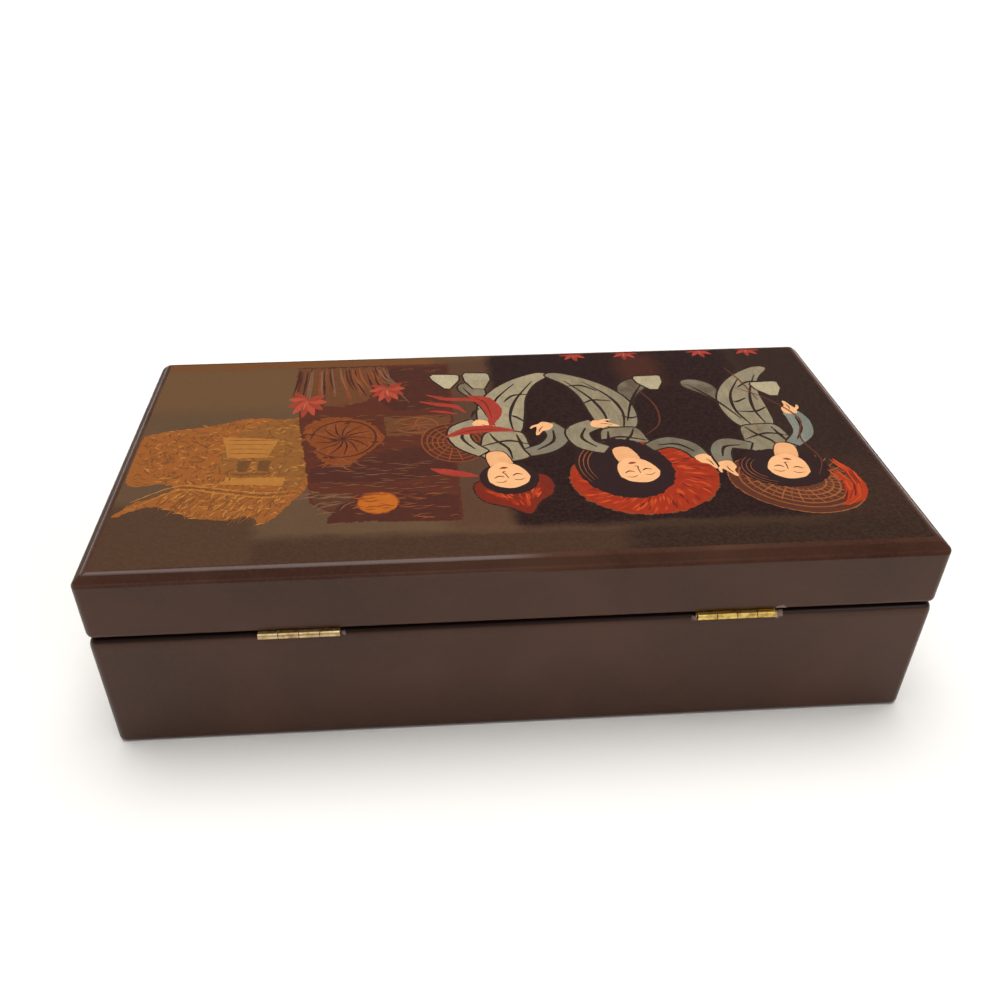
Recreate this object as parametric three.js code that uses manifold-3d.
// A hinged lacquer jewelry box: a hollow base and a hollow lid of lacquered wood, with bevelled
// lid edges and softly rounded rims, joined at the back by two small brass butt hinges.
//
// Units are millimetres. X runs along the box, Y from the front (-Y) to the hinges (+Y), Z up.
// The origin is the middle of the underside.

import * as THREE from "three";
import { mergeVertices } from "three/addons/utils/BufferGeometryUtils.js";
import Module from "manifold-3d";

const wasm = await Module();
wasm.setup();

// Driving sizes of the box
const BOX_LENGTH = 250;
const BOX_WIDTH = 142;
const BOX_HEIGHT = 63;
const LID_HEIGHT = 21.3; // from the lid's rim to its top
const RIM_GAP = 0.8; // between the closed rims

// Wood thicknesses
const WALL = 7;
const FLOOR = 5;
const LID_TOP = 6;

// Edges
const CORNER_RADIUS = 2.5; // the four upright outside edges
const TOP_CORNER_RADIUS = 1; // corners of the lid's flat top, inside its bevel
const INNER_CORNER_RADIUS = 2; // upright corners of both hollows
const INNER_FILLET = 1.5; // where the walls meet the floor and the lid's ceiling
const BEVEL_IN = 3.4; // lid bevel, measured across the top
const BEVEL_DOWN = 2.6; // lid bevel, measured down the sides
const BEVEL_EASE = 0.9; // length over which each edge of the bevel is softened
const LID_RIM_ROUND = 1.8; // outside edge of the lid's rim
const BASE_RIM_IN = 1.4; // slow rounding of the base's rim, measured across the rim
const BASE_RIM_DOWN = 3.2; // the same rounding, measured down the sides
const INNER_RIM_ROUND = 0.6; // inside edges of both rims
const FOOT_ROUND = 1.5; // outside edges of the underside

// Hinges
const HINGE_SPREAD = 128.5; // between the middles of the two hinges
const HINGE_LENGTH = 23.5;
const KNUCKLES = 4; // even ones belong to the base leaf, odd ones to the lid leaf
const KNUCKLE_GAP = 0.3;
const BARREL_RADIUS = 0.95;
const BARREL_PROUD = 1.0; // how far the barrel's axis stands behind the back wall
const PIN_RADIUS = 0.45;
const PIN_PLAY = 0.05;
const PIN_END = 0.1; // how far the pin stands out of each end of the barrel
const LEAF_THICKNESS = 0.7;
const LEAF_REACH = 5.2; // from the back wall to the leaf's inner edge, across the rim
const LEAF_GAP = 0.3; // between the two folded leaves
const BARREL_CLEARANCE = 0.3; // between a leaf's plate and the other leaf's knuckles
const MORTISE_PLAY = 0.1;

// Countersunk screws that hold the leaves
const SCREW_SPACING = 14;
const SCREW_FROM_BACK = 2.7; // from the back wall to the screws' row
const SCREW_RADIUS = 0.6;
const SCREW_LENGTH = 6;
const SCREW_HEAD_RADIUS = 1.2;
const SCREW_HEAD_DEPTH = 0.5;
const SCREW_PLAY = 0.05;
const SLOT_WIDTH = 0.35;
const SLOT_DEPTH = 0.25;

// Smoothness
const CORNER_STEPS = 6;
const ROUND_STEPS = 5;
const BARREL_SIDES = 24;
const SCREW_SIDES = 16;
const BEYOND = 2; // how far a cutting tool runs past what it cuts

// Places that follow from the sizes above
const BASE_HEIGHT = BOX_HEIGHT - LID_HEIGHT - RIM_GAP;
const LID_RIM_Z = BASE_HEIGHT + RIM_GAP;
const BACK_Y = BOX_WIDTH / 2;
const AXIS_Y = BACK_Y + BARREL_PROUD;
const AXIS_Z = BASE_HEIGHT + RIM_GAP / 2;
const LEAF_INNER_Y = BACK_Y - LEAF_REACH;
const LEAF_OUTER_Y = AXIS_Y - BARREL_RADIUS - BARREL_CLEARANCE;
const SCREW_Y = BACK_Y - SCREW_FROM_BACK;

const lacquer = new THREE.MeshStandardMaterial({ color: 0x3f2c26, roughness: 0.16, metalness: 0 });
const brass = new THREE.MeshStandardMaterial({ color: 0xc9a55a, roughness: 0.32, metalness: 1 });

// Solids for cutting and joining

function solidOf(geometry) {
  const bare = geometry.clone();
  bare.deleteAttribute("normal");
  bare.deleteAttribute("uv");
  const merged = mergeVertices(bare, 1e-4);
  return new wasm.Manifold(
    new wasm.Mesh({
      numProp: 3,
      vertProperties: merged.attributes.position.array,
      triVerts: new Uint32Array(merged.index.array),
    }),
  );
}

function geometryOf(solid) {
  const mesh = solid.getMesh();
  const geometry = new THREE.BufferGeometry();
  geometry.setAttribute("position", new THREE.BufferAttribute(mesh.vertProperties, 3));
  geometry.setIndex(new THREE.BufferAttribute(mesh.triVerts, 1));
  geometry.computeVertexNormals();
  return geometry;
}

function block(x0, x1, y0, y1, z0, z1) {
  const geometry = new THREE.BoxGeometry(x1 - x0, y1 - y0, z1 - z0);
  geometry.translate((x0 + x1) / 2, (y0 + y1) / 2, (z0 + z1) / 2);
  return solidOf(geometry);
}

// A round bar along X.
function bar(radius, x0, x1, y, z) {
  const geometry = new THREE.CylinderGeometry(radius, radius, x1 - x0, BARREL_SIDES);
  geometry.rotateZ(Math.PI / 2);
  geometry.translate((x0 + x1) / 2, y, z);
  return solidOf(geometry);
}

// Hollow shells, lofted through rounded-rectangle rings

// A ring at a height, inset from the box's outline by the same amount on all sides.
function ring(inset, z, radius) {
  const halfX = BOX_LENGTH / 2 - inset - radius;
  const halfY = BOX_WIDTH / 2 - inset - radius;
  const corners = [[1, 1], [-1, 1], [-1, -1], [1, -1]];
  return corners.flatMap(([sideX, sideY], corner) =>
    Array.from({ length: CORNER_STEPS + 1 }, (_, step) => {
      const angle = (corner + step / CORNER_STEPS) * (Math.PI / 2);
      return new THREE.Vector3(
        sideX * halfX + radius * Math.cos(angle),
        sideY * halfY + radius * Math.sin(angle),
        z,
      );
    }),
  );
}

// Rings run in order over the skin: from the middle of a face that looks down, outwards or
// inwards and around the rim, to the middle of a face that looks up.
function shell(rings) {
  const count = rings[0].length;
  const points = rings.flat();
  const first = points.push(new THREE.Vector3(0, 0, rings[0][0].z)) - 1;
  const last = points.push(new THREE.Vector3(0, 0, rings.at(-1)[0].z)) - 1;
  const top = (rings.length - 1) * count;
  const faces = [];
  for (let j = 0; j < count; j++) {
    const next = (j + 1) % count;
    faces.push(first, next, j);
    for (let low = 0; low < top; low += count) {
      const high = low + count;
      faces.push(low + j, low + next, high + next, low + j, high + next, high + j);
    }
    faces.push(last, top + j, top + next);
  }
  const geometry = new THREE.BufferGeometry().setFromPoints(points);
  geometry.setIndex(faces);
  return solidOf(geometry);
}

// Stations of a quarter round in a wall's section. Each is [inset, height]; the arc starts at
// angle from and ends at angle to, both in quarter turns from the outward direction. It is part
// of a circle, or of an ellipse if its rise is given.
function arc(inset, z, radius, from, to, rise = radius) {
  return Array.from({ length: ROUND_STEPS + 1 }, (_, step) => {
    const angle = (from + ((to - from) * step) / ROUND_STEPS) * (Math.PI / 2);
    return [inset - radius * Math.cos(angle), z + rise * Math.sin(angle)];
  });
}

// The bevel's two soft edges, as curves that start and end along the faces they join.
function bevel(top) {
  const side = new THREE.Vector2(0, top - BEVEL_DOWN);
  const crease = new THREE.Vector2(BEVEL_IN, top);
  const slope = crease.clone().sub(side).normalize().multiplyScalar(BEVEL_EASE);
  const edges = [
    [new THREE.Vector2(0, side.y - BEVEL_EASE), side, side.clone().add(slope)],
    [crease.clone().sub(slope), crease, new THREE.Vector2(BEVEL_IN + BEVEL_EASE, top)],
  ];
  return edges.flatMap((ends) =>
    new THREE.QuadraticBezierCurve(...ends).getPoints(ROUND_STEPS).map((p) => [p.x, p.y]),
  );
}

function outside(stations, leastRadius) {
  return stations.map(([inset, z]) => ring(inset, z, Math.max(CORNER_RADIUS - inset, leastRadius)));
}

function inside(stations) {
  return stations.map(([inset, z]) => ring(inset, z, INNER_CORNER_RADIUS + WALL - inset));
}

function baseShell() {
  const rimInner = WALL - INNER_RIM_ROUND;
  const innerEdge = WALL + INNER_FILLET;
  const outer = [
    ...arc(FOOT_ROUND, FOOT_ROUND, FOOT_ROUND, -1, 0),
    ...arc(BASE_RIM_IN, BASE_HEIGHT - BASE_RIM_DOWN, BASE_RIM_IN, 0, 1, BASE_RIM_DOWN),
  ];
  const inner = [
    ...arc(rimInner, BASE_HEIGHT - INNER_RIM_ROUND, INNER_RIM_ROUND, 1, 2),
    ...arc(innerEdge, FLOOR + INNER_FILLET, INNER_FILLET, 0, -1),
  ];
  return shell([...outside(outer, TOP_CORNER_RADIUS), ...inside(inner)]);
}

function lidShell() {
  const ceiling = BOX_HEIGHT - LID_TOP;
  const rimInner = WALL - INNER_RIM_ROUND;
  const innerEdge = WALL + INNER_FILLET;
  const inner = [
    ...arc(innerEdge, ceiling - INNER_FILLET, INNER_FILLET, 1, 0),
    ...arc(rimInner, LID_RIM_Z + INNER_RIM_ROUND, INNER_RIM_ROUND, 2, 3),
  ];
  const outer = [
    ...arc(LID_RIM_ROUND, LID_RIM_Z + LID_RIM_ROUND, LID_RIM_ROUND, -1, 0),
    ...bevel(BOX_HEIGHT),
  ];
  return shell([...inside(inner), ...outside(outer, TOP_CORNER_RADIUS)]);
}

// Hinges. A leaf and its cuts are made for the base, and turned over about the hinge's axis
// for the lid: side is -1 below the axis and 1 above it.

function leafLevels(side) {
  const near = AXIS_Z + (side * LEAF_GAP) / 2;
  const far = near + side * LEAF_THICKNESS;
  return { near, far, low: Math.min(near, far), high: Math.max(near, far) };
}

function screwPlaces(middle) {
  return [middle - SCREW_SPACING / 2, middle + SCREW_SPACING / 2];
}

// A screw's outline from its face to its tip, grown by a clearance, turned about its own axis.
function screwSolid(x, side, play, face) {
  const head = SCREW_HEAD_RADIUS + play;
  const shank = SCREW_RADIUS + play;
  const tip = SCREW_LENGTH + play;
  const profile = [[0, -face], [head, -face], [head, 0], [shank, SCREW_HEAD_DEPTH]];
  profile.push([shank, tip - shank], [0, tip]);
  const geometry = new THREE.LatheGeometry(
    profile.map(([radius, depth]) => new THREE.Vector2(radius, -depth)).reverse(),
    SCREW_SIDES,
  );
  geometry.rotateX(side < 0 ? Math.PI / 2 : -Math.PI / 2);
  geometry.translate(x, SCREW_Y, leafLevels(side).near);
  return solidOf(geometry);
}

function screw(x, side) {
  const { near } = leafLevels(side);
  const bottom = near + side * SLOT_DEPTH;
  const slot = block(
    x - SCREW_HEAD_RADIUS - BEYOND,
    x + SCREW_HEAD_RADIUS + BEYOND,
    SCREW_Y - SLOT_WIDTH / 2,
    SCREW_Y + SLOT_WIDTH / 2,
    Math.min(bottom, near - side * BEYOND),
    Math.max(bottom, near - side * BEYOND),
  );
  return screwSolid(x, side, 0, 0).subtract(slot);
}

// The knuckles of one leaf: their first and last places along the hinge.
function knuckleSpans(middle, side) {
  const pitch = (HINGE_LENGTH + KNUCKLE_GAP) / KNUCKLES;
  const start = middle - HINGE_LENGTH / 2;
  const spans = [];
  for (let k = side < 0 ? 0 : 1; k < KNUCKLES; k += 2) {
    spans.push([start + k * pitch, start + (k + 1) * pitch - KNUCKLE_GAP]);
  }
  return spans;
}

function leaf(middle, side) {
  const { low, high } = leafLevels(side);
  const half = HINGE_LENGTH / 2;
  let made = block(middle - half, middle + half, LEAF_INNER_Y, LEAF_OUTER_Y, low, high);
  for (const [from, to] of knuckleSpans(middle, side)) {
    made = made.add(block(from, to, LEAF_INNER_Y, AXIS_Y, low, high));
    made = made.add(bar(BARREL_RADIUS, from, to, AXIS_Y, AXIS_Z));
  }
  const boreStart = middle - half - BEYOND;
  const boreEnd = middle + half + BEYOND;
  made = made.subtract(bar(PIN_RADIUS + PIN_PLAY, boreStart, boreEnd, AXIS_Y, AXIS_Z));
  for (const x of screwPlaces(middle)) {
    made = made.subtract(screwSolid(x, side, SCREW_PLAY, BEYOND));
  }
  return made;
}

function pin(middle) {
  const half = HINGE_LENGTH / 2 + PIN_END;
  return bar(PIN_RADIUS, middle - half, middle + half, AXIS_Y, AXIS_Z);
}

// What one leaf and its screws need cut out of a rim.
function mortise(middle, side) {
  const { far } = leafLevels(side);
  const half = HINGE_LENGTH / 2 + MORTISE_PLAY;
  const open = AXIS_Z - side * BEYOND;
  let made = block(
    middle - half,
    middle + half,
    LEAF_INNER_Y - MORTISE_PLAY,
    BACK_Y + BEYOND,
    Math.min(far, open),
    Math.max(far, open),
  );
  for (const x of screwPlaces(middle)) {
    made = made.add(screwSolid(x, side, SCREW_PLAY, 0));
  }
  return made;
}

// The assembled box

const box = new THREE.Group();

function addPiece(name, solid, material) {
  const mesh = new THREE.Mesh(geometryOf(solid), material);
  mesh.name = name;
  box.add(mesh);
}

const HINGES = [["left", -HINGE_SPREAD / 2], ["right", HINGE_SPREAD / 2]];
const SIDES = [["base", -1], ["lid", 1]];
const shells = { base: baseShell(), lid: lidShell() };

for (const [body, side] of SIDES) {
  const [left, right] = HINGES.map(([, middle]) => mortise(middle, side));
  addPiece(body, shells[body].subtract(left).subtract(right), lacquer);
}

for (const [name, middle] of HINGES) {
  for (const [body, side] of SIDES) {
    addPiece(`${name}_hinge_${body}_leaf`, leaf(middle, side), brass);
    screwPlaces(middle).forEach((x, n) => {
      addPiece(`${name}_hinge_${body}_screw_${n + 1}`, screw(x, side), brass);
    });
  }
  addPiece(`${name}_hinge_pin`, pin(middle), brass);
}

export default box;
